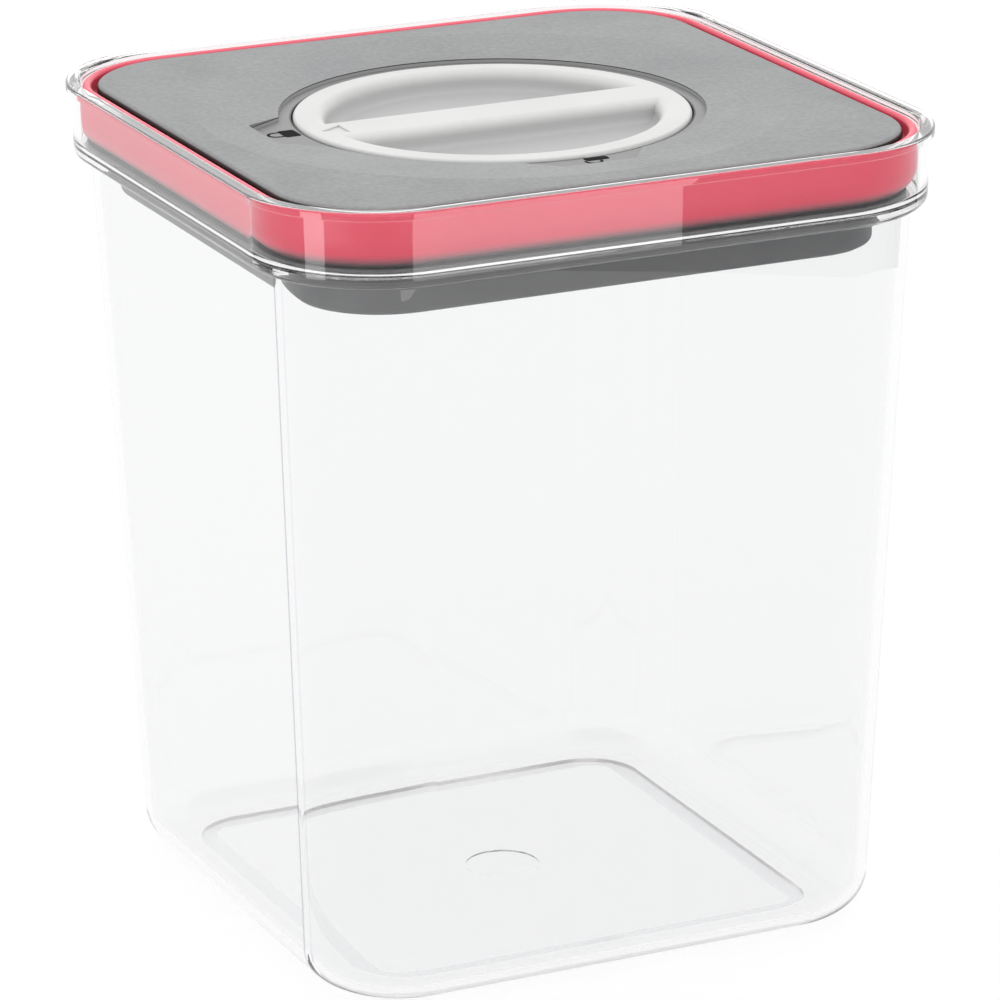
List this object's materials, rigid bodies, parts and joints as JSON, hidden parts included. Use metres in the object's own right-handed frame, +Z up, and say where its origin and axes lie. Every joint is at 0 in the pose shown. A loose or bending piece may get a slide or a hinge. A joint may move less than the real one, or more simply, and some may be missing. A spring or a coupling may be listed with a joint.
{
  "type": "storage canister",
  "caption": "Square clear storage canister with a rimmed mouth and a grey twist-to-seal lid: dished plate, round knob with finger hollows, red soft seal and a cam-driven plug.",
  "frame": {"origin": "middle of the base, on the plane that the canister stands on", "axes": "+Z up; +X along the grip bar when the lid is locked, away from the closed-padlock mark; -Y towards the open-padlock mark"},
  "size_m": [0.16, 0.16, 0.183],
  "materials": {
    "container": "clear, polished styrene copolymer, colourless",
    "lid_plate": "fine spark-eroded matt texture, mid grey",
    "knob": "fine satin texture, off-white",
    "seal_ring": "smooth black rubber",
    "glide_ring": "smooth natural acetal",
    "cam_wheel": "moulded natural acetal, light grey",
    "screws": "stainless steel",
    "gasket": "smooth silicone rubber, coral red",
    "plug": "moulded, satin, dark grey"
  },
  "bodies": {
    "container": {"container": "container"},
    "lid": {"plug_frame": "plug", "plug_cover": "plug", "gasket": "gasket"},
    "plate": {"lid_plate": "lid_plate", "glide_ring": "glide_ring"},
    "knob": {"knob": "knob", "hub_seal_ring": "seal_ring", "cam_wheel": "cam_wheel", "cam_screws": "screws"}
  },
  "joints": [
    {"name": "lid_lift", "type": "slide", "parent": "container", "child": "lid", "axis": [0, 0, 1], "range_m": [0, 0.06]},
    {"name": "plate_rise", "type": "slide", "parent": "lid", "child": "plate", "axis": [0, 0, 1], "range_m": [0, 0.0022], "deforming": ["gasket"]},
    {"name": "knob_turn", "type": "hinge", "parent": "plate", "child": "knob", "pos_m": [0, 0, 0.17], "axis": [0, 0, 1], "range_deg": [0, 90]}
  ],
  "couplings": [
    {"joint": "plate_rise", "follows": "knob_turn", "m_per_rad": 0.0014}
  ]
}
